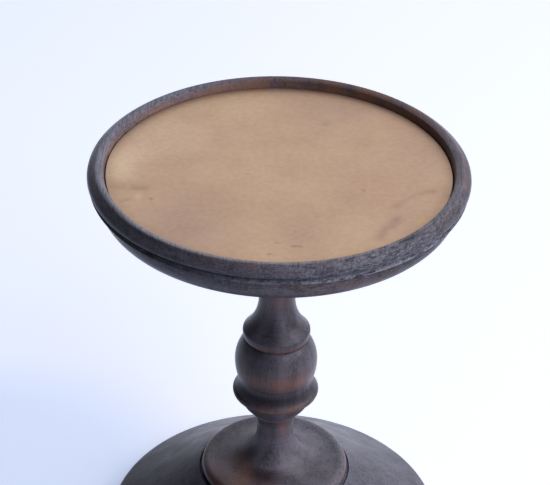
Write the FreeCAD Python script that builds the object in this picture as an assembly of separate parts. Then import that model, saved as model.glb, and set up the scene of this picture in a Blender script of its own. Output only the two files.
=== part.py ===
"""Small turned candle stand: a domed base, a baluster stem and a rimmed dish with a brass plate.

Three turnings of dark stained hardwood are joined by round tenons, which go right through the base
and the dish. Each tenon is split at its end and spread by a wedge. The brass plate lies in the
dish's recess, where the candle stands on it, and covers the upper tenon.

Millimetres, +Z up, with the origin on the floor under the stand's axis.
"""

import FreeCAD, Part
import math
import os

from FreeCAD import Vector

# Joints: the gap that the glue fills, and how far every cutting tool runs past its work.
glue_gap = 0.1
overrun = 1.0

# Base: a cone with a rounded edge, a flat seat for the stem and a hollow underside.
base_radius = 57.0
base_height = 29.0
base_edge_height = 6.2
base_edge_round = 2.7
base_chamfer = 0.8
base_dome_sag = 0.6
base_seat_gap = 0.8
base_seat_lip = 0.8
base_foot_width = 9.0
base_hollow_depth = 2.6
base_hollow_run = 6.0

# Stem foot: a flange with a half-round edge, and the cove that climbs from it to the lower neck.
foot_radius = 24.8
foot_bead_radius = 2.1
foot_quirk_width = 2.2
foot_quirk_depth = 0.6
foot_cove_height = 14.0

# Lower neck and the cup that swells from it to the collar.
neck_radius = 6.0
lower_neck_length = 2.9
cup_cove_height = 4.3
cup_cove_flare = 1.5
cup_fillet_width = 0.45
cup_fillet_height = 1.2
cup_height = 6.3
cup_swell = 3.8

# Collar: a thin lip flared out from the waist under the ball.
collar_under_rise = 0.4
collar_lip_height = 2.5
collar_lip_bulge = 1.14
collar_cove_height = 4.55
collar_flare = 1.12
collar_undercut = 0.9

# Ball: an urn that is widest below its middle, under the lip of the shoulder.
ball_radius = 13.7
ball_lower_height = 6.6
ball_upper_height = 8.65
ball_waist_depth = 1.16
ball_crown_depth = 3.07

# Shoulder: a lip over the ball, and the cove that climbs from it to the upper neck.
shoulder_quirk_depth = 0.5
shoulder_quirk_height = 0.4
shoulder_overhang = 0.46
shoulder_lip_height = 3.3
shoulder_lip_bulge = 0.28
shoulder_cove_height = 12.0

# Upper neck and the head, the flange that carries the dish.
upper_neck_length = 19.7
upper_neck_swell = 0.6
head_cove_height = 13.0
head_radius = 17.0
head_fillet_width = 1.2
head_fillet_height = 2.6

# Tenons and their wedges.
base_tenon_radius = 8.0
dish_tenon_radius = 5.2
tenon_set_back = 0.3
wedge_thickness = 2.4
wedge_tip_thickness = 0.8
base_wedge_length = 12.0
dish_wedge_length = 8.0
kerf_spare = 1.5

# Dish: a quarter-round underside, a plain band, a sharp arris over it, a small cove above the arris,
# and a rim with a lip, a round side, a sloping shoulder and a crowned top.
dish_radius = 60.0
dish_under_round = 7.4
dish_band_inset = 2.8
dish_band_height = 1.4
arris_rise = 0.7
arris_inset = 0.55
rim_cove_height = 2.1
rim_cove_depth = 1.4
rim_cove_hollow = 0.3
bead_under_rise = 0.2
bead_lip_inset = 0.2
bead_lip_height = 0.4
bead_side_rise = 1.3
bead_side_inset = 0.35
bead_shoulder_rise = 1.72
bead_shoulder_run = 2.27
bead_shoulder_bulge = 0.12
rim_width = 5.0
rim_top_crown = 0.13
rim_inner_drop = 0.62
recess_batter = 0.6

# Brass plate: a flat disc let in below the crest of the rim.
plate_thickness = 1.0
plate_sink = 2.86
plate_gap = 0.2


def at(radius, height):
    """A point of a turned outline, in the plane through the axis."""
    return Vector(radius, 0, height)


def straight(start, end):
    return Part.LineSegment(start, end).toShape()


def arc(start, middle, end):
    return Part.Arc(start, middle, end).toShape()


def upright_arc(start, end, upright):
    """The arc from start to end that stands upright at one of them, as a cove or a belly does."""
    other = end if upright is start else start
    across = other.x - upright.x
    radius = (across ** 2 + (other.z - upright.z) ** 2) / (2 * across)
    centre = at(upright.x + radius, upright.z)
    half_way = (upright - centre).normalize() + (other - centre).normalize()
    return arc(start, centre + half_way.normalize() * abs(radius), end)


def bulged_arc(start, end, bulge):
    """The arc from start to end whose middle stands off the chord by bulge, to the chord's right."""
    chord = end - start
    aside = at(chord.z, -chord.x).normalize()
    return arc(start, (start + end) / 2 + aside * bulge, end)


def turned(edges):
    """The solid that a closed outline sweeps in a full turn about the stand's axis."""
    face = Part.Face(Part.Wire(edges))
    return face.revolve(Vector(0, 0, 0), Vector(0, 0, 1), 360)


def closed_outline(edges):
    """The outline's edges, with a straight edge from its last point to its first."""
    first = edges[0].Vertexes[0].Point
    last = edges[-1].Vertexes[-1].Point
    return edges + [straight(last, first)]


# Heights up the axis: the base carries the stem, and the stem carries the dish.
foot_height = base_height
cove_foot_height = foot_height + 2 * foot_bead_radius - foot_quirk_depth
lower_neck_height = cove_foot_height + foot_cove_height
cup_cove_foot_height = lower_neck_height + lower_neck_length
cup_fillet_foot_height = cup_cove_foot_height + cup_cove_height
cup_foot_height = cup_fillet_foot_height + cup_fillet_height
cup_top_height = cup_foot_height + cup_height
collar_foot_height = cup_top_height + collar_under_rise
collar_cove_foot_height = collar_foot_height + collar_lip_height
waist_height = collar_cove_foot_height + collar_cove_height
ball_middle_height = waist_height + ball_lower_height
ball_top_height = ball_middle_height + ball_upper_height
shoulder_foot_height = ball_top_height + shoulder_quirk_height
shoulder_cove_foot_height = shoulder_foot_height + shoulder_lip_height
upper_neck_height = shoulder_cove_foot_height + shoulder_cove_height
head_cove_foot_height = upper_neck_height + upper_neck_length
head_fillet_foot_height = head_cove_foot_height + head_cove_height
dish_height = head_fillet_foot_height + head_fillet_height
dish_band_foot_height = dish_height + dish_under_round
dish_band_top_height = dish_band_foot_height + dish_band_height
arris_height = dish_band_top_height + arris_rise
rim_cove_top_height = arris_height + rim_cove_height
bead_foot_height = rim_cove_top_height + bead_under_rise
bead_middle_height = bead_foot_height + bead_lip_height
bead_shoulder_height = bead_middle_height + bead_side_rise
crest_height = bead_shoulder_height + bead_shoulder_rise
plate_top_height = crest_height - plate_sink
recess_height = plate_top_height - plate_thickness

# Radii that more than one outline follows.
base_mortise_radius = base_tenon_radius + glue_gap
dish_mortise_radius = dish_tenon_radius + glue_gap
base_seat_radius = foot_radius + base_seat_gap
rim_inner_radius = dish_radius - rim_width
recess_radius = rim_inner_radius - recess_batter
plate_radius = recess_radius - plate_gap

# Radii of the stem's swellings, each worked out from the ball.
waist_radius = ball_radius - ball_waist_depth
collar_radius = waist_radius + collar_flare
ball_top_radius = ball_radius - ball_crown_depth
shoulder_radius = ball_top_radius + shoulder_overhang


def make_base():
    """The domed base: bored through for the stem's tenon, and hollow underneath so that its edge bears."""
    hollow_radius = base_radius - base_foot_width - base_hollow_run
    seat_edge = at(base_seat_radius, base_height + base_seat_lip)
    round_centre = at(base_radius - base_edge_round, base_edge_height)
    reach = seat_edge - round_centre
    tangent_turn = math.asin(base_edge_round / reach.Length)
    sag_turn = 2 * math.atan(2 * base_dome_sag / reach.Length)
    slope = math.atan2(reach.z, -reach.x) - tangent_turn - sag_turn
    dome_foot = round_centre + at(math.sin(slope), math.cos(slope)) * base_edge_round
    edge_top = at(base_radius, base_edge_height)
    edges = [
        straight(at(base_mortise_radius, base_hollow_depth), at(hollow_radius, base_hollow_depth)),
        straight(at(hollow_radius, base_hollow_depth), at(base_radius - base_foot_width, 0)),
        straight(at(base_radius - base_foot_width, 0), at(base_radius - base_chamfer, 0)),
        straight(at(base_radius - base_chamfer, 0), at(base_radius, base_chamfer)),
        straight(at(base_radius, base_chamfer), edge_top),
        upright_arc(edge_top, dome_foot, edge_top),
        bulged_arc(dome_foot, seat_edge, -base_dome_sag),
        straight(seat_edge, at(base_seat_radius, base_height)),
        straight(at(base_seat_radius, base_height), at(base_mortise_radius, base_height)),
    ]
    return turned(closed_outline(edges))


def foot_edges():
    """The stem's outline from its lower tenon to the lower neck."""
    flange_radius = foot_radius - foot_bead_radius
    flange_top = at(flange_radius, foot_height + 2 * foot_bead_radius)
    cove_foot = at(flange_radius - foot_quirk_width, cove_foot_height)
    neck = at(neck_radius, lower_neck_height)
    tenon_end = base_hollow_depth + tenon_set_back
    return [
        straight(at(0, tenon_end), at(base_tenon_radius, tenon_end)),
        straight(at(base_tenon_radius, tenon_end), at(base_tenon_radius, foot_height)),
        straight(at(base_tenon_radius, foot_height), at(flange_radius, foot_height)),
        arc(at(flange_radius, foot_height), at(foot_radius, foot_height + foot_bead_radius), flange_top),
        straight(flange_top, cove_foot),
        upright_arc(cove_foot, neck, neck),
        straight(neck, at(neck_radius, cup_cove_foot_height)),
    ]


def cup_edges():
    """The stem's outline from the lower neck to the foot of the collar's lip."""
    neck = at(neck_radius, cup_cove_foot_height)
    cove_top = at(neck_radius + cup_cove_flare, cup_fillet_foot_height)
    fillet_radius = cove_top.x + cup_fillet_width
    cup_foot = at(fillet_radius, cup_foot_height)
    cup_top = at(fillet_radius + cup_swell, cup_top_height)
    return [
        upright_arc(neck, cove_top, neck),
        straight(cove_top, at(fillet_radius, cup_fillet_foot_height)),
        straight(at(fillet_radius, cup_fillet_foot_height), cup_foot),
        upright_arc(cup_foot, cup_top, cup_top),
        straight(cup_top, at(collar_radius - collar_undercut, collar_foot_height)),
    ]


def collar_and_ball_edges():
    """The stem's outline from the collar's lip to the foot of the shoulder's lip."""
    lip_foot = at(collar_radius - collar_undercut, collar_foot_height)
    lip_top = at(collar_radius, collar_cove_foot_height)
    waist = at(waist_radius, waist_height)
    ball_middle = at(ball_radius, ball_middle_height)
    ball_top = at(ball_top_radius, ball_top_height)
    quirk = at(ball_top_radius - shoulder_quirk_depth, ball_top_height)
    return [
        bulged_arc(lip_foot, lip_top, collar_lip_bulge),
        upright_arc(lip_top, waist, waist),
        upright_arc(waist, ball_middle, ball_middle),
        upright_arc(ball_middle, ball_top, ball_middle),
        straight(ball_top, quirk),
        straight(quirk, at(shoulder_radius - shoulder_quirk_depth, shoulder_foot_height)),
    ]


def shoulder_and_head_edges():
    """The stem's outline from the shoulder's lip to the upper tenon."""
    lip_foot = at(shoulder_radius - shoulder_quirk_depth, shoulder_foot_height)
    lip_top = at(shoulder_radius, shoulder_cove_foot_height)
    neck_foot = at(neck_radius, upper_neck_height)
    neck_top = at(neck_radius + upper_neck_swell, head_cove_foot_height)
    cove_top = at(head_radius - head_fillet_width, head_fillet_foot_height)
    tenon_end = recess_height - tenon_set_back
    return [
        bulged_arc(lip_foot, lip_top, shoulder_lip_bulge),
        upright_arc(lip_top, neck_foot, neck_foot),
        straight(neck_foot, neck_top),
        upright_arc(neck_top, cove_top, neck_top),
        straight(cove_top, at(head_radius, head_fillet_foot_height)),
        straight(at(head_radius, head_fillet_foot_height), at(head_radius, dish_height)),
        straight(at(head_radius, dish_height), at(dish_tenon_radius, dish_height)),
        straight(at(dish_tenon_radius, dish_height), at(dish_tenon_radius, tenon_end)),
        straight(at(dish_tenon_radius, tenon_end), at(0, tenon_end)),
    ]


def wedge_prism(end_height, length, inwards, tenon_radius):
    """A taper along X, thick at the tenon's end and thin inside it. inwards is +1 up or -1 down."""
    half_end = wedge_thickness / 2
    half_tip = wedge_tip_thickness / 2
    tip_height = end_height + inwards * length
    corners = [
        Vector(-half_end, 0, end_height),
        Vector(half_end, 0, end_height),
        Vector(half_tip, 0, tip_height),
        Vector(-half_tip, 0, tip_height),
    ]
    face = Part.Face(Part.makePolygon(corners + corners[:1]))
    width = 2 * (tenon_radius + overrun)
    prism = face.extrude(Vector(0, width, 0))
    prism.translate(Vector(0, -width / 2, 0))
    return prism


def wedge_in(end_height, length, inwards, tenon_radius):
    """A wedge, trimmed flush with the round of its tenon."""
    foot_of_trim = min(end_height, end_height + inwards * length) - overrun
    trim = Part.makeCylinder(tenon_radius, length + 2 * overrun, Vector(0, 0, foot_of_trim))
    return wedge_prism(end_height, length, inwards, tenon_radius).common(trim)


def kerf_for(end_height, length, inwards, tenon_radius):
    """The split in a tenon: it fits the wedge, and runs on as a saw cut past the wedge's tip."""
    half_tip = wedge_tip_thickness / 2
    width = 2 * (tenon_radius + overrun)
    cut_length = length + kerf_spare
    foot_of_cut = end_height if inwards > 0 else end_height - cut_length
    cut = Part.makeBox(wedge_tip_thickness, width, cut_length, Vector(-half_tip, -width / 2, foot_of_cut))
    return wedge_prism(end_height, length, inwards, tenon_radius).fuse(cut)


base_wedge = (base_hollow_depth + tenon_set_back, base_wedge_length, 1, base_tenon_radius)
dish_wedge = (recess_height - tenon_set_back, dish_wedge_length, -1, dish_tenon_radius)


def make_stem():
    """The baluster stem, one turning from tenon to tenon, with both tenons split for their wedges."""
    edges = foot_edges() + cup_edges() + collar_and_ball_edges() + shoulder_and_head_edges()
    stem = turned(closed_outline(edges))
    return stem.cut(kerf_for(*base_wedge)).cut(kerf_for(*dish_wedge))


def make_dish():
    """The rimmed dish: bored through for the stem's tenon, and recessed for the brass plate."""
    band_radius = dish_radius - dish_band_inset
    under_radius = band_radius - dish_under_round
    round_middle = at(under_radius, dish_band_foot_height) + at(1, -1).normalize() * dish_under_round
    band_foot = at(band_radius, dish_band_foot_height)
    band_top = at(band_radius, dish_band_top_height)
    arris = at(dish_radius - arris_inset, arris_height)
    cove_top = at(arris.x - rim_cove_depth, rim_cove_top_height)
    bead_lip = at(dish_radius - bead_lip_inset, bead_foot_height)
    bead_side = at(dish_radius, bead_middle_height)
    bead_shoulder = at(dish_radius - bead_side_inset, bead_shoulder_height)
    crest = at(bead_shoulder.x - bead_shoulder_run, crest_height)
    rim_inner = at(rim_inner_radius, crest_height - rim_inner_drop)
    edges = [
        straight(at(dish_mortise_radius, dish_height), at(under_radius, dish_height)),
        arc(at(under_radius, dish_height), round_middle, band_foot),
        straight(band_foot, band_top),
        straight(band_top, arris),
        bulged_arc(arris, cove_top, -rim_cove_hollow),
        straight(cove_top, bead_lip),
        upright_arc(bead_lip, bead_side, bead_side),
        upright_arc(bead_side, bead_shoulder, bead_side),
        bulged_arc(bead_shoulder, crest, bead_shoulder_bulge),
        bulged_arc(crest, rim_inner, rim_top_crown),
        straight(rim_inner, at(recess_radius, recess_height)),
        straight(at(recess_radius, recess_height), at(dish_mortise_radius, recess_height)),
    ]
    return turned(closed_outline(edges))


def make_plate():
    """The brass plate, a disc cut from sheet."""
    return Part.makeCylinder(plate_radius, plate_thickness, Vector(0, 0, recess_height))


parts = {
    "domed_base": make_base(),
    "baluster_stem": make_stem(),
    "rimmed_dish": make_dish(),
    "brass_plate": make_plate(),
    "base_tenon_wedge": wedge_in(*base_wedge),
    "dish_tenon_wedge": wedge_in(*dish_wedge),
}

os.makedirs("parts", exist_ok=True)
for name, shape in parts.items():
    shape.exportStep(os.path.join("parts", name + ".step"))
    print(name, "solids", len(shape.Solids), "valid", shape.isValid(), "volume", round(shape.Volume, 1))
print("stand height", round(crest_height, 3), "to the crest of the rim")
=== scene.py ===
import bpy
import numpy as np
from mathutils import Matrix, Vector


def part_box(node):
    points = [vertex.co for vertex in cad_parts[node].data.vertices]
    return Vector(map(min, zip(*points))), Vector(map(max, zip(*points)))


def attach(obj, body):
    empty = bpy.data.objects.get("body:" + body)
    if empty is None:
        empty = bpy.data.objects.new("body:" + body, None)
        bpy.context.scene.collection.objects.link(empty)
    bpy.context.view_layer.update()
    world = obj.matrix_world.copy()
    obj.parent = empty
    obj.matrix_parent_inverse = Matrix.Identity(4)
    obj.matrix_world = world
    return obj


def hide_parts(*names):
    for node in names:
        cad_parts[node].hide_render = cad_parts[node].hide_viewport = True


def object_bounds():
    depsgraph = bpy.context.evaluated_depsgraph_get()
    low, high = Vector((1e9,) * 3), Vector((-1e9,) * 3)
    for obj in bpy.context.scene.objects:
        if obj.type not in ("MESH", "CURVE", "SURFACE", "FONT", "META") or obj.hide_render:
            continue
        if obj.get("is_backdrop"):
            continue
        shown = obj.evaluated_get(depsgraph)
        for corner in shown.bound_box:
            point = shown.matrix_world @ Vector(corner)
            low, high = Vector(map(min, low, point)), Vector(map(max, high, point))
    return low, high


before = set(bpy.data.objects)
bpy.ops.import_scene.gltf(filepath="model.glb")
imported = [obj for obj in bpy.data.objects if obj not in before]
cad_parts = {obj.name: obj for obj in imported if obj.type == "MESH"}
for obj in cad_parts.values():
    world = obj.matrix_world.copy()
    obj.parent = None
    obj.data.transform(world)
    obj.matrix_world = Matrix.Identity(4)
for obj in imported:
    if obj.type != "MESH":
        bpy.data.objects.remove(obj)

cad_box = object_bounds()


# Domed base: a disc of hardwood turned to a steep cone with a rounded edge, stained nearly black.
# Its flat top is bored through for the stem's tenon, and its underside is hollow, so that it stands
# on a ring. A grey bloom lies on its slope, partly dust and old wax and partly painted light on its
# right, and its back left is darkened with painted shade.
MM = 0.001
PACE = 0.08  # mm between two points of a lathe outline


def averaged(points, spread, closed):
    """Each point's mean over its neighbours, weighted by a bell curve of that spread in samples."""
    reach = int(4 * spread)
    weight = np.exp(-0.5 * (np.arange(-reach, reach + 1) / spread) ** 2)
    pad = {"mode": "wrap"} if closed else {"mode": "reflect", "reflect_type": "odd"}
    padded = np.pad(points, ((reach, reach), (0, 0)), **pad)
    return np.stack([np.convolve(column, weight / weight.sum(), "valid") for column in padded.T], 1)


def lathe_outline(rows, closed, ease):
    """Points of a lathe outline in mm, with the arrises eased as sandpaper does it.

    A row is a radius, a height and the sagitta of the arc that runs on to the next row, positive
    where the arc swells out of the wood. An arc of chord c and sagitta s has the half angle
    a = 2 atan(2 s / c) and the radius c / (2 sin a). The easing is an average over `ease` mm.
    """
    rows = np.array(rows, float)
    ends = np.roll(rows, -1, 0) if closed else rows[1:]
    nearly_straight = 1e-6
    runs = []
    for (r0, z0, bulge), (r1, z1, _) in zip(rows, ends):
        chord = np.hypot(r1 - r0, z1 - z0)
        half = 2 * np.arctan(2 * (bulge or nearly_straight) / chord)
        share = np.linspace(0, 1, max(3, int(chord / PACE)), endpoint=False)
        angle = (2 * share - 1) * half
        forward = 0.5 + np.sin(angle) / (2 * np.sin(half))
        aside = (np.cos(angle) - np.cos(half)) / (2 * np.sin(half))
        runs.append(np.stack([
            r0 + (r1 - r0) * forward + (z1 - z0) * aside,
            z0 + (z1 - z0) * forward - (r1 - r0) * aside,
        ], 1))
    if not closed:
        runs.append(rows[-1:, :2])
    return averaged(np.concatenate(runs), ease / PACE, closed)


def lathe_turn(points, closed, around, count, care=1.0):
    """A surface of revolution: the outline at `count` places, carried round Z in `around` steps.

    The places lie closest where the outline turns most, and in proportion to `care`. An open outline
    starts and ends on the axis and gets a point there. Two marks go with each vertex: along is its
    way along the outline in mm, and edge is how far it stands proud of the outline's mean over 0.9 mm.
    """
    way_step, turn_step, mean_reach = 1.1, 0.14, 0.9
    beyond = points[:1] if closed else [2 * points[-1] - points[-2]]
    after = np.append(points[1:], beyond, 0)
    length = np.hypot(*(after - points).T)
    tangent = averaged((after - points) / length[:, None], 2.0, closed)
    normal = np.stack([tangent[:, 1], -tangent[:, 0]], 1)
    normal /= np.hypot(*normal.T)[:, None]
    turning = np.abs(np.gradient(np.unwrap(np.arctan2(tangent[:, 1], tangent[:, 0]))))
    cost = np.cumsum(care * (length / way_step + turning / turn_step))
    place = np.searchsorted(cost, np.linspace(0, cost[-1], count, endpoint=False))[0 if closed else 1:]
    proud = ((points - averaged(points, mean_reach / PACE, closed)) * normal).sum(1)

    angle = np.linspace(0, 2 * np.pi, around, endpoint=False)

    def carried(flat):
        """Rows of radius and height at the chosen places, carried round the axis."""
        radius, height = flat[place, 0][:, None], flat[place, 1][:, None]
        ring = [radius * np.cos(angle), radius * np.sin(angle), height + 0 * angle]
        return np.stack(ring, 2).reshape(-1, 3)

    verts, normals = carried(points), carried(normal)
    marks = {"along": np.repeat(np.cumsum(length)[place], around), "edge": np.repeat(proud[place], around)}
    grid = np.arange(len(verts)).reshape(len(place), around)
    near, far = (grid, np.roll(grid, -1, 0)) if closed else (grid[:-1], grid[1:])
    faces = np.stack([near, np.roll(near, -1, 1), np.roll(far, -1, 1), far], 2).reshape(-1, 4).tolist()
    if not closed:
        first, last = np.full(around, len(verts)), np.full(around, len(verts) + 1)
        verts = np.vstack([verts, [[0, 0, points[0, 1]], [0, 0, points[-1, 1]]]])
        normals = np.vstack([normals, [[0, 0, -1], [0, 0, 1]]])
        marks = {name: np.append(value, [0, 0]) for name, value in marks.items()}
        faces += np.stack([first, np.roll(grid[0], -1), grid[0]], 1).tolist()
        faces += np.stack([grid[-1], np.roll(grid[-1], -1), last], 1).tolist()
    return verts, normals, faces, marks


def bell(value, middle, spread):
    """A bell curve: 1 at the middle, and 1/e at `spread` to either side."""
    return np.exp(-((value - middle) / spread) ** 2)


def toward(verts, middle, breadth):
    """A bell curve round the axis: 1 at a bearing in degrees from +X, and 1/e at `breadth` beside it."""
    bearing = np.degrees(np.arctan2(verts[:, 1], verts[:, 0]))
    return bell((bearing - middle + 180) % 360 - 180, 0, breadth)


def make_piece(name, verts, faces, marks, material, node):
    """Puts the arrays, in mm, into a smooth mesh with its marks, in place of a node of the frame."""
    mesh = bpy.data.meshes.new(name)
    mesh.from_pydata(verts * MM, [], faces)
    mesh.polygons.foreach_set("use_smooth", np.ones(len(faces), bool))
    for mark, values in marks.items():
        mesh.attributes.new(mark, "FLOAT", "POINT").data.foreach_set("value", values.astype(np.float32))
    mesh.materials.append(material)
    piece = bpy.data.objects.new(name, mesh)
    bpy.context.scene.collection.objects.link(piece)
    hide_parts(node)
    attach(piece, "root")


def linear(code):
    """An sRGB hex colour as linear RGBA."""
    channel = np.array([int(code[i:i + 2], 16) for i in (1, 3, 5)]) / 255
    return (*np.where(channel <= 0.04045, channel / 12.92, ((channel + 0.055) / 1.055) ** 2.4), 1.0)


def add(tree, kind, feeds, out=None, **settings):
    """Adds a shader node with its settings, feeds its inputs with values or sockets, gives an output."""
    node = tree.nodes.new("ShaderNode" + kind)
    for name, value in settings.items():
        setattr(node, name, value)
    for key, value in feeds.items():
        ready = [socket for socket in node.inputs if socket.enabled]
        socket = ready[key] if isinstance(key, int) else next(s for s in ready if s.name == key)
        if isinstance(value, bpy.types.NodeSocket):
            tree.links.new(value, socket)
        else:
            socket.default_value = value
    return node.outputs[out] if out else next((s for s in node.outputs if s.enabled), None)


def stained_hardwood(name, grain, sheen, deep, brown, rubbed, bloom_and_light):
    """Open-grained hardwood, stained nearly black, waxed and long handled.

    It gives the eye dark pores that run with the grain, a satin wax sheen, red-brown wood where the
    stain is rubbed away, black in the hollows and under the dark mark, which is dirt and painted shade,
    and a grey bloom under the dust mark, which is dust and painted light and sheen. grain is the axis,
    0 to 2, that the fibres lie along, and sheen is how strongly the wax mirrors. The pores are drawn
    twice as wide as real ones, so that they show.
    """
    material = bpy.data.materials.new(name)
    material.use_nodes = True
    tree = material.node_tree
    tree.nodes.clear()
    place = add(tree, "TexCoord", {}, "Object")
    along, around, edge, worn, dust_and_painted_light, dirt_and_painted_shade, open_grain = [
        add(tree, "Attribute", {}, "Fac", attribute_name=mark)
        for mark in ("along", "around", "edge", "worn", "dust_and_painted_light", "dirt_and_painted_shade", "open_grain")]
    skin = add(tree, "CombineXYZ", {0: around, 1: along})

    def per(long_mm, wide_mm):
        """The scale that passes one unit every long_mm along the fibres and every wide_mm across them."""
        return [1 / ((long_mm if axis == grain else wide_mm) * MM) for axis in range(3)]

    # Noise in the wood, and on its skin in mm round the axis and along the outline: scale and detail.
    noise = {}
    for pattern, (where, scale, detail) in {
        "figure": (place, per(60, 4), 3.0),
        "fibre": (place, per(9, 0.6), 4.0),
        "vessel": (place, per(3, 0.5), 2.0),
        "patch": (place, per(10, 7), 4.0),
        "blotch": (skin, (1 / 4.0, 1 / 1.1, 1.0), 4.0),
        "chalk_glint": (skin, (1 / 1.6, 1 / 0.34, 1.0), 2.0),
    }.items():
        mapped = add(tree, "Mapping", {"Vector": where, "Scale": scale})
        noise[pattern] = add(tree, "TexNoise", {"Vector": mapped, "Scale": 1.0, "Detail": detail})
    lines_per_mm = 1.6
    passed = add(tree, "Math", {0: along, 1: lines_per_mm}, operation="MULTIPLY")
    chisel = add(tree, "TexNoise", {"W": passed, "Scale": 1.0, "Detail": 3.0}, noise_dimensions="1D")

    tone = add(tree, "MapRange", {"Value": noise["figure"], "From Min": 0.34, "From Max": 0.68})
    streak = add(tree, "MapRange", {
        "Value": noise["fibre"], "From Min": 0.42, "From Max": 0.72, "To Max": 0.6})
    line = add(tree, "MapRange", {"Value": chisel, "From Min": 0.5, "From Max": 0.7, "To Max": 0.4})
    uneven = add(tree, "MapRange", {
        "Value": noise["patch"], "From Min": 0.32, "From Max": 0.62, "To Min": 0.25})
    proud = add(tree, "MapRange", {"Value": edge, "From Min": 0.24, "From Max": 0.5, "To Max": 0.3})
    rub = add(tree, "Math", {0: worn, 1: proud}, operation="MAXIMUM")
    rub = add(tree, "Math", {0: rub, 1: uneven}, operation="MULTIPLY")
    # A pale film under the dust mark: dust, and painted light and sheen where the pieces put it so.
    film = add(tree, "MapRange", {
        "Value": noise["fibre"], "From Min": 0.36, "From Max": 0.62, "To Min": 0.35})
    film = add(tree, "Math", {0: film, 1: dust_and_painted_light}, operation="MULTIPLY")
    pore = add(tree, "MapRange", {
        "Value": noise["vessel"], "From Min": 0.6, "From Max": 0.72, "To Max": 0.55})
    torn = add(tree, "MapRange", {
        "Value": noise["blotch"], "From Min": 0.52, "From Max": 0.6, "To Max": 0.9})
    torn = add(tree, "Math", {0: torn, 1: open_grain}, operation="MULTIPLY")
    # Pale flecks in the torn grain: chalky fibres, and painted glints on the crests of the pores.
    fleck_and_glint = add(tree, "MapRange", {
        "Value": noise["chalk_glint"], "From Min": 0.55, "From Max": 0.72, "To Max": 0.8})
    fleck_and_glint = add(tree, "Math", {0: fleck_and_glint, 1: open_grain}, operation="MULTIPLY")
    # Near black in the hollows of the outline and under the dark mark: dirt, and painted shade.
    hollow_dirt_and_shade = add(tree, "MapRange", {"Value": edge, "From Min": -0.2, "From Max": -0.4, "To Max": 0.4})
    hollow_dirt_and_shade = add(tree, "Math", {0: hollow_dirt_and_shade, 1: dirt_and_painted_shade}, operation="MAXIMUM")

    # From the stain up: how much of each layer shows, and its colour.
    colour = linear(deep)
    for shown, layer in [
        (tone, brown), (streak, brown), (line, deep), (rub, rubbed), (film, bloom_and_light),
        (torn, "#16161c"), (fleck_and_glint, "#a9a8b6"), (pore, "#100e12"), (hollow_dirt_and_shade, "#0b0a0e"),
    ]:
        colour = add(tree, "Mix", {"Factor": shown, "A": colour, "B": linear(layer)}, data_type="RGBA")

    gloss = add(tree, "MapRange", {
        "Value": noise["patch"], "From Min": 0.3, "From Max": 0.7, "To Min": 0.24, "To Max": 0.38})
    wax = add(tree, "MapRange", {"Value": hollow_dirt_and_shade, "To Min": sheen, "To Max": 0.02})
    # Relief in mm: pores and torn grain are cut in, and fibres and chisel lines stand up.
    depth = add(tree, "Math", {0: open_grain, 1: -0.12, 2: -0.03}, operation="MULTIPLY_ADD")
    relief = add(tree, "Math", {0: pore, 1: depth}, operation="MULTIPLY")
    relief = add(tree, "Math", {0: torn, 1: -0.12, 2: relief}, operation="MULTIPLY_ADD")
    relief = add(tree, "Math", {0: noise["fibre"], 1: 0.04, 2: relief}, operation="MULTIPLY_ADD")
    relief = add(tree, "Math", {0: chisel, 1: 0.05, 2: relief}, operation="MULTIPLY_ADD")
    bump = add(tree, "Bump", {"Height": relief, "Strength": 1.0, "Distance": MM})
    shader = add(tree, "BsdfPrincipled", {
        "Base Color": colour, "Roughness": gloss, "Specular IOR Level": wax, "Normal": bump})
    add(tree, "OutputMaterial", {"Surface": shader})
    return material


# Outline: the hollow underside, the foot ring, the rounded edge, the slope, the seat and the bore.
base_rows = [
    (8.1, 2.6, 0), (42.0, 2.6, 0), (48.0, 0, 0), (56.2, 0, 0.1), (57.0, 0.8, 0), (57.0, 6.2, 0.34),
    (55.71, 8.5, -0.6), (25.6, 29.8, 0), (25.6, 29.0, 0), (8.1, 29.0, 0),
]
outline = lathe_outline(base_rows, closed=True, ease=0.3)
verts, normals, faces, marks = lathe_turn(outline, closed=True, around=512, count=130)
# The dust mark here is dust and painted light, drawn mostly on the slope's right and round the back right of
# the seat, where the key falls; the dark mark on the back left is painted shade, which also dulls the wax
# there.
seat_edge = bell(np.hypot(verts[:, 0], verts[:, 1]), 24.2, 1.8)
marks["dust_and_painted_light"] = np.clip(normals[:, 2], 0, 1) * (
    0.4 * toward(verts, 10, 70) + 0.2 * toward(verts, -177, 20) + 0.5 * seat_edge * toward(verts, 30, 80))
marks["dirt_and_painted_shade"] = 0.45 * toward(verts, 143, 25)
base_wood = stained_hardwood(
    "stained_oak_base", grain=0, sheen=0.14,
    deep="#38353d", brown="#605b69", rubbed="#6d4a3c", bloom_and_light="#9593a0")
make_piece("turned_base", verts, faces, marks, base_wood, "domed_base")


# Baluster stem: one spindle turned from a square of the same wood, with its fibres along it. Foot
# flange, cove, cup, collar, ball and lip follow each other, each met by a crisp cut of the chisel.
# Round tenons at both ends are glued and wedged into the base and the dish.
def touched(verts, value, rows):
    """What hands, dust and dirt leave on turned wood, and painted light and shade, as one array for each row.

    A row is the middle and the spread of a bell curve over `value`, such as a height in mm, the
    bearing and the breadth of one round the axis in degrees, and an amount that multiplies both.
    """
    return np.array([
        amount * bell(value, middle, spread) * toward(verts, bearing, breadth)
        for middle, spread, bearing, breadth, amount in rows])


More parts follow.
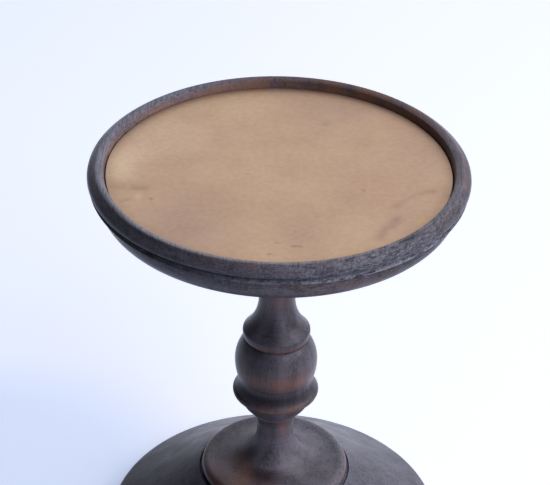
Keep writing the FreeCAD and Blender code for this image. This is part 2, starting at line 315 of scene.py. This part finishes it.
# Outline upwards: tenon, foot flange, cove, lower neck, cup, collar, ball, lip, upper neck, head, tenon.
stem_rows = [
    (0, 3.05, 0), (8.0, 3.05, 0), (8.0, 29.0, 0), (22.7, 29.0, 2.1), (22.7, 33.2, 0), (20.5, 32.6, -4.28),
    (6.0, 46.6, 0), (6.0, 49.5, -0.39), (7.5, 53.8, 0), (7.95, 53.8, 0), (7.95, 55.0, 1.02),
    (11.75, 61.3, 0), (12.76, 61.7, 1.14), (13.66, 64.2, -0.28), (12.54, 68.75, 0.29), (13.7, 75.35, 0.79),
    (10.63, 84.0, 0), (10.13, 84.0, 0), (10.59, 84.4, 0.28), (11.09, 87.7, -1.33), (6.0, 99.7, 0),
    (6.6, 119.4, -2.53), (15.8, 132.4, 0), (17.0, 132.4, 0), (17.0, 135.0, 0), (5.2, 135.0, 0),
    (5.2, 145.9, 0), (0, 145.9, 0),
]
# Wear by height; dirt and painted shade by height, mostly on the left; and on the flange by radius,
# dust and painted light at the right and back, and dirt and painted shade at the front and left.
stem_wear = [
    (102.0, 3.5, -65, 45, 0.4), (85.1, 0.8, -95, 65, 0.9), (74.0, 3.2, -105, 70, 0.5),
    (73.4, 2.5, -55, 40, 0.3), (63.0, 1.6, -90, 45, 0.55), (62.4, 1.5, -62, 22, 0.4),
    (51.3, 4.2, -62, 17, 0.55), (33.8, 2.2, -135, 38, 1.0),
]
stem_dirt_and_shade = [
    (65.5, 3.6, -165, 50, 0.85), (38.6, 4.0, 180, 45, 0.75), (76.0, 6.0, -175, 40, 0.35),
    (91.0, 5.0, -160, 45, 0.5), (91.5, 6.0, -103, 28, 0.5), (91.0, 5.0, -38, 12, 0.35),
    (83.4, 2.0, -125, 22, 0.6), (79.0, 5.0, -125, 25, 0.35), (44.0, 5.0, 175, 45, 0.45),
]
flange_dust_and_light = [(22.2, 1.8, 30, 80, 0.5), (17.5, 3.5, -165, 30, 0.15), (17.5, 4.5, 80, 60, 0.35)]
flange_dirt_and_shade = [
    (12.8, 3.2, -104, 35, 0.7), (13.0, 4.0, -30, 25, 0.25), (22.4, 3.4, -142, 27, 0.75),
    (18.5, 3.0, -126, 20, 0.28),
]
outline = lathe_outline(stem_rows, closed=False, ease=0.2)
verts, normals, faces, marks = lathe_turn(outline, closed=False, around=288, count=300)
radius, height = np.hypot(verts[:, 0], verts[:, 1]), verts[:, 2]
flange = height < 36
# A dark band round the collar's groove, lighter on the right front, is dirt and painted shade; a fainter dark
# band runs round the lip.
groove_dirt_and_shade = 0.8 * bell(height, 66.4, 2.6) * (1 - 0.3 * toward(verts, -45, 30))
lip_dark_band = 0.2 * bell(height, 86.8, 1.2)
marks["worn"] = touched(verts, height, stem_wear).sum(0)
# The dust mark is dust on upward faces and painted light on the flange; the dark mark is dirt and painted
# shade.
marks["dust_and_painted_light"] = 0.2 * np.clip(normals[:, 2], 0, 1) + flange * touched(verts, radius, flange_dust_and_light).sum(0)
marks["dirt_and_painted_shade"] = np.maximum.reduce([
    groove_dirt_and_shade, lip_dark_band, flange * touched(verts, radius, flange_dirt_and_shade).max(0),
    touched(verts, height, stem_dirt_and_shade).max(0)])
stem_wood = stained_hardwood(
    "stained_oak_stem", grain=2, sheen=0.28,
    deep="#3a343b", brown="#6b606b", rubbed="#8a5a45", bloom_and_light="#8b8b9a")
make_piece("turned_stem", verts, faces, marks, stem_wood, "baluster_stem")


# Rimmed dish: a disc cut from a plank, turned with a quarter-round underside, a band, a sharp arris, a
# cove whose black is partly wax and partly painted shade, and a rim with a lip, a sloping shoulder and a
# crowned top. The fibres run from front to back, so the front of the rim is end grain, torn open on the
# right, and its sides are streaked.
dish_low, dish_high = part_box("rimmed_dish")
dish_radius, dish_foot = dish_high.x / MM, dish_low.z / MM
# Outline: flat underside, quarter round, band, arris, cove, lip, side, shoulder, crown, recess and bore.
dish_rows = [
    (dish_radius - inset, dish_foot + height, bulge) for inset, height, bulge in [
        (54.7, 0, 0), (10.2, 0, 2.17), (2.8, 7.4, 0), (2.8, 8.8, 0), (0.55, 9.5, -0.3), (1.95, 11.6, 0),
        (0.2, 11.8, 0.05), (0, 12.2, 0.09), (0.35, 13.5, 0.12), (2.62, 15.22, 0.13), (5.0, 14.6, 0),
        (5.6, 11.36, 0), (54.7, 11.36, 0),
    ]
]
# Dust with painted light and sheen, wear, and dirt with painted shade on the rim, by the inset from its edge.
rim_dust_and_sheen = [
    (0.8, 1.6, -70, 45, 0.12), (1.2, 1.2, -76, 9, 0.25), (3.4, 1.4, -30, 40, 0.36), (2.0, 1.6, 150, 40, 0.35),
    (3.0, 1.3, 125, 15, 0.15), (2.8, 1.5, 26, 22, 0.12), (2.6, 1.8, 180, 35, 0.15), (3.2, 1.5, -85, 30, 0.18),
]
rim_wear = [
    (3.4, 1.5, 48, 42, 1.0), (4.2, 1.6, 95, 18, 0.45), (2.2, 2.2, -92, 30, 0.3), (2.0, 1.8, -12, 22, 0.45),
]
rim_dirt_and_shade = [
    (2.1, 1.2, -134, 32, 0.5), (3.4, 0.8, -149, 9, 0.4), (3.0, 1.2, -46.5, 4, 0.6), (0.7, 0.8, -75.5, 3, 0.5),
    (4.8, 0.7, 76, 30, 0.3),
]
outline = lathe_outline(dish_rows, closed=True, ease=0.13)
verts, normals, faces, marks = lathe_turn(outline, closed=True, around=600, count=165)
inset, height = dish_radius - np.hypot(verts[:, 0], verts[:, 1]), verts[:, 2] - dish_foot
# Zones of the dish, by the height above its foot and the inset from its edge.
below, rim = height < 9.4, height > 11.9
cove = (height > 9.6) & (height < 11.75) & (inset < 2.5)
groove_wax_and_shade = (height > 10.6) & (height < 12.1)
inner_wall = (height > 11) * bell(inset, 5.5, 0.3)
inner_slope = bell(inset, 4.2, 1.1) * (1 - toward(verts, 50, 75))
arris = bell(inset, 0.6, 0.35) * bell(height, 9.5, 0.35)
# The dust mark is dust and painted light: the pale inner slope of the rim is a painted highlight, the rim's
# top a painted sheen, and the arris, the band and the cove floor are drawn paler to the front right, where
# the light falls.
marks["dust_and_painted_light"] = (
    rim * (0.06 + 0.55 * inner_slope + touched(verts, inset, rim_dust_and_sheen).sum(0))
    + 0.75 * arris * toward(verts, -52, 45) + 0.12 * below * toward(verts, -75, 45)
    + 0.55 * cove * bell(height, 9.8, 0.9) * toward(verts, -80, 35))
marks["worn"] = (
    rim * (0.95 * bell(inset, 5.4, 0.6) + touched(verts, inset, rim_wear).sum(0))
    + 0.6 * arris * toward(verts, -92, 14) + 0.5 * below * toward(verts, -70, 22))
# The dark mark is dirt and painted shade: the shoulder and the cove to the front left, the band's right front
# and the inner wall are drawn darker; in the cove it is partly black wax.
marks["dirt_and_painted_shade"] = (
    rim * touched(verts, inset, rim_dirt_and_shade).sum(0) + 0.85 * groove_wax_and_shade * toward(verts, -134, 32)
    + 0.42 * below * toward(verts, -38, 28) + 0.08 * inner_wall * toward(verts, 45, 55))
marks["open_grain"] = (1 - toward(verts, 90, 50)) * (
    0.4 * bell(height, 9.0, 5.0) + np.where(below, 0.25, 0.6) * toward(verts, -56, 32))
# The way round in mm, from a seam at the back.
bearing = np.degrees(np.arctan2(verts[:, 1], verts[:, 0]))
marks["around"] = np.radians((bearing + 270) % 360) * dish_radius
dish_wood = stained_hardwood(
    "stained_oak_dish", grain=1, sheen=0.18,
    deep="#2d2b34", brown="#575362", rubbed="#815843", bloom_and_light="#a5a3b2")
make_piece("turned_dish", verts, faces, marks, dish_wood, "rimmed_dish")


# Brass plate: a disc of thin sheet, cut with snips, flattened by hand and laid in the recess. It has
# gone a dull tan, with a rosy film, tide marks where something wet stood near the rim, and dents.
plate_low, plate_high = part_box("brass_plate")
plate_radius = plate_high.x / MM
plate_foot, plate_top = plate_low.z / MM, plate_high.z / MM
plate_rows = [
    (0, plate_foot, 0), (plate_radius, plate_foot, 0), (plate_radius, plate_top, 0), (0, plate_top, 0),
]
outline = lathe_outline(plate_rows, closed=False, ease=0.15)
care = np.where(outline[:, 1] > (plate_foot + plate_top) / 2, 1.0, 0.05)
verts, normals, faces, marks = lathe_turn(outline, closed=False, around=512, count=188, care=care)
x, y = verts[:, 0], verts[:, 1]


def strokes(*rows):
    """How strongly lines and dots mark each vertex of the plate.

    A row is a strength, a spread in mm, and the points of a line, or one point for a dot. Its mark is
    a bell curve over the distance from the line, seen from above, and the strongest row holds.
    """
    strongest = np.zeros(len(x))
    for strength, spread, line in rows:
        nearest = np.hypot(x - line[0][0], y - line[0][1])
        for (x0, y0), (x1, y1) in zip(line, line[1:]):
            share = ((x - x0) * (x1 - x0) + (y - y0) * (y1 - y0)) / ((x1 - x0) ** 2 + (y1 - y0) ** 2)
            share = np.clip(share, 0, 1)
            nearest = np.minimum(nearest, np.hypot(x - x0 - share * (x1 - x0), y - y0 - share * (y1 - y0)))
        strongest = np.maximum(strongest, strength * bell(nearest, 0, spread))
    return strongest


# How uneven the plate is, in mm: a low bulge at the left, a crease beside it, a dent and faint waves.
raised = bell(x, -53, 9) * bell(y, 5, 13)
crease = strokes(
    (1.0, 1.7, [(-44.9, -11.7), (-41.8, -11.6)]), (0.6, 2.4, [(-50.0, -11.2), (-44.9, -11.7)]))
dent = strokes((1.0, 0.9, [(-43.0, -17.0), (-42.8, -15.6)]))
waves = np.sin(x / 9.0 + 0.8 * np.sin(y / 17)) * np.sin(y / 11.0 + 0.7 * np.sin(x / 13))
lift = 0.3 * raised - 0.12 * crease - 0.1 * dent + 0.03 * waves
verts[:, 2] += np.where(normals[:, 2] > 0.5, lift, 0)
# Cream at the left, on the bulge and in a pale cloud, is a painted reflection of the bright room; the dent is
# drawn cream too.
bulge_reflection = bell(x, -52, 8) * bell(y, 0, 11) * np.clip((y + 9.5) / 4, 0, 1)
pale_reflection_cloud = bell(x, -38, 17) * bell(y, 18, 18)
marks["cream_and_reflection"] = 0.95 * bulge_reflection + 0.45 * pale_reflection_cloud + 0.6 * dent
# Rosy clouds: the middle and the spread along X, the same along Y, and the strength.
rosy_clouds = [
    (-29, 15, -33, 17, 0.6), (21, 18, 38, 11, 0.35), (7, 6, -38, 8, 0.4), (39, 8, -24, 12, 0.15),
    (47, 9, 10, 18, 0.3),
]
marks["rosy"] = np.maximum.reduce([
    strength * bell(x, x0, wide) * bell(y, y0, deep) for x0, wide, y0, deep, strength in rosy_clouds])
marks["tide"] = strokes(
    (0.42, 1.4, [(47.4, -10.7), (44.6, -11.7), (40.8, -14.1), (38.3, -16.3), (35.8, -19.8)]),
    (0.58, 1.9, [(35.5, -27.0), (33.6, -31.0), (31.5, -33.8), (30.2, -37.7)]))
soot_and_drips = strokes(
    (0.42, 0.45, [(4.2, -43.1), (5.6, -43.0), (6.8, -43.2)]), (0.15, 0.8, [(-48.1, -19.7), (-45.7, -18.1)]),
    (0.3, 0.6, [(26.0, -10.7)]), (0.4, 0.6, [(-39.0, -17.8)]), (0.45, 0.6, [(-2.5, -47.4)]),
    (0.45, 0.4, [(-0.3, -41.3)]), (0.15, 1.7, [(15.0, 30.5)]))
# Along the crease the plate is drawn darker; the other dark marks are soot and drips.
marks["soot_and_dark_crease"] = np.maximum(0.24 * crease, soot_and_drips)
marks["bright"] = strokes((0.55, 1.1, [(42.2, -28.4), (43.4, -26.4)]), (0.35, 1.6, [(24.5, -45.5)]))
marks["rim"] = bell(np.hypot(x, y), plate_radius, 3.0)


def tarnished_brass(name):
    """Sheet brass, rolled, unlacquered and dulled by years of handling and wax.

    It gives the eye a soft metallic sheen without mirror images, tan clouded with rose and with cream,
    which is partly a painted reflection, brown-violet tide marks, and a scatter of dark specks.
    """
    material = bpy.data.materials.new(name)
    material.use_nodes = True
    tree = material.node_tree
    tree.nodes.clear()
    place = add(tree, "TexCoord", {}, "Object")
    cream_and_reflection, flush, tide, soot_and_dark_crease, bright, rim = [
        add(tree, "Attribute", {}, "Fac", attribute_name=mark)
        for mark in ("cream_and_reflection", "rosy", "tide", "soot_and_dark_crease", "bright", "rim")]

    # Noise in the sheet: its size in mm along X, Y and Z, its detail and how rough it is.
    noise = {}
    for pattern, (sizes_mm, detail, roughness) in {
        "cloud": ((40, 40, 40), 2.0, 0.5),
        "film": ((15, 15, 15), 5.0, 0.62),
        "grit": ((1.2, 1.2, 1.2), 1.0, 0.5),
        "rolled": ((30, 0.8, 30), 3.0, 0.5),
        "mottle": ((1.8, 1.8, 1.8), 3.0, 0.5),
    }.items():
        mapped = add(tree, "Mapping", {"Vector": place, "Scale": [1 / (size * MM) for size in sizes_mm]})
        noise[pattern] = add(tree, "TexNoise", {
            "Vector": mapped, "Scale": 1.0, "Detail": detail, "Roughness": roughness})

    warm = add(tree, "MapRange", {"Value": noise["cloud"], "From Min": 0.36, "From Max": 0.66})
    rosy = add(tree, "MapRange", {
        "Value": noise["film"], "From Min": 0.46, "From Max": 0.72, "To Max": 0.15})
    rosy = add(tree, "Math", {0: rosy, 1: flush}, operation="MAXIMUM")
    speck = add(tree, "MapRange", {
        "Value": noise["grit"], "From Min": 0.74, "From Max": 0.82, "To Max": 0.35})
    scuffed = add(tree, "MapRange", {
        "Value": noise["mottle"], "From Min": 0.36, "From Max": 0.66, "To Max": 0.13})
    ragged = add(tree, "MapRange", {
        "Value": noise["film"], "From Min": 0.3, "From Max": 0.6, "To Min": 0.35})
    stain = add(tree, "Math", {0: tide, 1: ragged}, operation="MULTIPLY")
    # Darker towards the plate's edge, next to the rim's wall.
    darker_at_edge = add(tree, "Math", {0: rim, 1: 0.4}, operation="MULTIPLY")

    # From the metal up: how much of each layer shows, and its colour.
    colour = linear("#c5a48b")
    for shown, layer in [
        (warm, "#ccad8f"), (rosy, "#b39488"), (cream_and_reflection, "#dcc1a4"), (darker_at_edge, "#9c7f6e"), (stain, "#98786c"),
        (bright, "#cdb078"), (scuffed, "#8f7562"), (speck, "#8a6f5e"), (soot_and_dark_crease, "#5e4a40"),
    ]:
        colour = add(tree, "Mix", {"Factor": shown, "A": colour, "B": linear(layer)}, data_type="RGBA")

    gloss = add(tree, "MapRange", {
        "Value": noise["film"], "From Min": 0.3, "From Max": 0.7, "To Min": 0.44, "To Max": 0.56})
    relief = add(tree, "Math", {0: noise["rolled"], 1: 0.008}, operation="MULTIPLY")
    relief = add(tree, "Math", {0: noise["film"], 1: 0.03, 2: relief}, operation="MULTIPLY_ADD")
    bump = add(tree, "Bump", {"Height": relief, "Strength": 1.0, "Distance": MM})
    shader = add(tree, "BsdfPrincipled", {
        "Base Color": colour, "Metallic": 1.0, "Roughness": gloss, "Normal": bump})
    add(tree, "OutputMaterial", {"Surface": shader})
    return material


sheet_brass = tarnished_brass("tarnished_sheet_brass")
make_piece("brass_disc", verts, faces, marks, sheet_brass, "brass_plate")


# Tenon wedges: slips of bare hardwood driven into the split ends of the two tenons and cut off flush.
# Only the lower one can be seen, from below the base, so both keep their plain meshes and get a
# wood without stain.
wedge_wood = stained_hardwood(
    "bare_oak_wedge", grain=2, sheen=0.3,
    deep="#5a412c", brown="#7b5b3f", rubbed="#8a6a4a", bloom_and_light="#8a7a68")
for node in ("base_tenon_wedge", "dish_tenon_wedge"):
    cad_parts[node].data.materials.clear()
    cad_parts[node].data.materials.append(wedge_wood)


# Stage: a plain pale floor, with painted shade that makes it a little darker on the left and a painted
# shadow to the left of the stand, in a pale blue room that is brightest behind the stand, where the
# brass and the rim mirror it. A broad key lights the stand from the right, and a tall window near the
# camera gives the wax its blue glints.
def seen_rays(tree):
    """1 for a ray that shows its surface to the camera, in a sheen or through glass, 0 for plain light."""
    rays = [add(tree, "LightPath", {}, f"Is {kind} Ray") for kind in ("Camera", "Glossy", "Transmission")]
    seen = add(tree, "Math", {0: rays[0], 1: rays[1]}, operation="MAXIMUM")
    return add(tree, "Math", {0: seen, 1: rays[2]}, operation="MAXIMUM")


bpy.ops.mesh.primitive_plane_add(size=6)
floor = bpy.context.object
floor.name = "floor"
floor_paint = bpy.data.materials.new("white_floor")
floor_paint.use_nodes = True
tree = floor_paint.node_tree
tree.nodes.clear()
# The light that the floor shows on its left, which is painted shade, on its right, and in its dim patch,
# which is a painted shadow, linear, with white at 1.
painted_shade_left_glow, right_glow, painted_shadow_glow = (0.49, 0.52, 0.66, 1), (0.53, 0.535, 0.64, 1), (0.385, 0.445, 0.615, 1)
painted_shadow_place = (-0.10, 0.03, 0.0)
paint = add(tree, "BsdfDiffuse", {"Color": linear("#dbe0ea")})
place = add(tree, "TexCoord", {}, "Object")
across = add(tree, "SeparateXYZ", {"Vector": place}, "X")
right = add(tree, "MapRange", {
    "Value": across, "From Min": -0.12, "From Max": 0.06}, interpolation_type="SMOOTHSTEP")
glow = add(tree, "Mix", {"Factor": right, "A": painted_shade_left_glow, "B": right_glow}, data_type="RGBA")
apart = add(tree, "VectorMath", {0: place, 1: painted_shadow_place}, "Value", operation="DISTANCE")
painted_shadow = add(tree, "MapRange", {
    "Value": apart, "From Min": 0.08, "From Max": 0.04}, interpolation_type="SMOOTHSTEP")
glow = add(tree, "Mix", {"Factor": painted_shadow, "A": glow, "B": painted_shadow_glow}, data_type="RGBA")
white = add(tree, "Emission", {"Color": glow, "Strength": seen_rays(tree)})
add(tree, "OutputMaterial", {"Surface": add(tree, "AddShader", {0: paint, 1: white})})
floor.data.materials.append(floor_paint)
floor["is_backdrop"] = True

world = bpy.data.worlds.new("pale_room")
world.use_nodes = True
tree = world.node_tree
tree.nodes.clear()
# The light of the walls for plain rays, of the walls that are seen, and of the bright wall, linear.
dim_walls, pale_walls, bright_wall = (0.03, 0.035, 0.05, 1), (0.28, 0.29, 0.32, 1), (1.06, 1.08, 1.14, 1)
bright_way = (0.27, 0.87, 0.42)
way = add(tree, "TexCoord", {}, "Generated")
behind = add(tree, "VectorMath", {0: way, 1: bright_way}, "Value", operation="DOT_PRODUCT")
behind = add(tree, "MapRange", {
    "Value": behind, "From Min": 0.5, "From Max": 0.97}, interpolation_type="SMOOTHSTEP")
seen = seen_rays(tree)
walls = add(tree, "Mix", {"Factor": seen, "A": dim_walls, "B": pale_walls}, data_type="RGBA")
room = add(tree, "Mix", {"Factor": behind, "A": walls, "B": bright_wall}, data_type="RGBA")
level = add(tree, "MapRange", {"Value": seen, "To Min": 0.45})
add(tree, "OutputWorld", {"Surface": add(tree, "Background", {"Color": room, "Strength": level})})
bpy.context.scene.world = world


def facing(place, forward, roll=0.0):
    """A matrix at a place that looks along forward with Z upright, rolled about the line of sight."""
    forward = np.array(forward) / np.linalg.norm(forward)
    right = np.cross(forward, (0, 0, 1))
    right /= np.linalg.norm(right)
    up = np.cross(right, forward)
    across = right * np.cos(roll) + up * np.sin(roll)
    upright = up * np.cos(roll) - right * np.sin(roll)
    matrix = np.eye(4)
    matrix[:3] = np.stack([across, upright, -forward, place], 1)
    return Matrix(matrix.tolist())


# Lamps: width and height in m, power in W, colour, place, and the height on the axis that it faces.
lamps = {
    "key": (1.4, 1.4, 19.0, (0.97, 0.985, 1.02), (1.14, -0.18, 1.04), 0.1),
    "window": (0.5, 2.0, 9.0, (0.86, 0.98, 1.14), (0.77, -1.10, 1.08), 1.08),
}
for name, (wide, high, power, tint, lamp_place, aim) in lamps.items():
    lamp = bpy.data.lights.new(name, "AREA")
    lamp.shape = "RECTANGLE"
    lamp.size, lamp.size_y, lamp.energy, lamp.color = wide, high, power, tint
    light = bpy.data.objects.new(name, lamp)
    bpy.context.scene.collection.objects.link(light)
    light.matrix_world = facing(lamp_place, np.array([0.0, 0.0, aim]) - lamp_place)

# Camera: at the photograph's angle, some 33 degrees down, close enough for a strong perspective.
pitch, yaw, roll = np.radians([32.876, -0.104, 0.93])
camera_place = (0, -0.53706, 0.46788)
focal_px, picture_px = 2000, 550
lens = bpy.data.cameras.new("camera")
lens.sensor_width = 36.0
lens.lens = lens.sensor_width * focal_px / picture_px
camera = bpy.data.objects.new("camera", lens)
bpy.context.scene.collection.objects.link(camera)
sight = (np.sin(yaw) * np.cos(pitch), np.cos(yaw) * np.cos(pitch), -np.sin(pitch))
camera.matrix_world = facing(camera_place, sight, roll)
bpy.context.scene.camera = camera
bpy.context.scene.view_settings.view_transform = "Standard"

[[list(map(float, corner)) for corner in box] for box in (cad_box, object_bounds())]
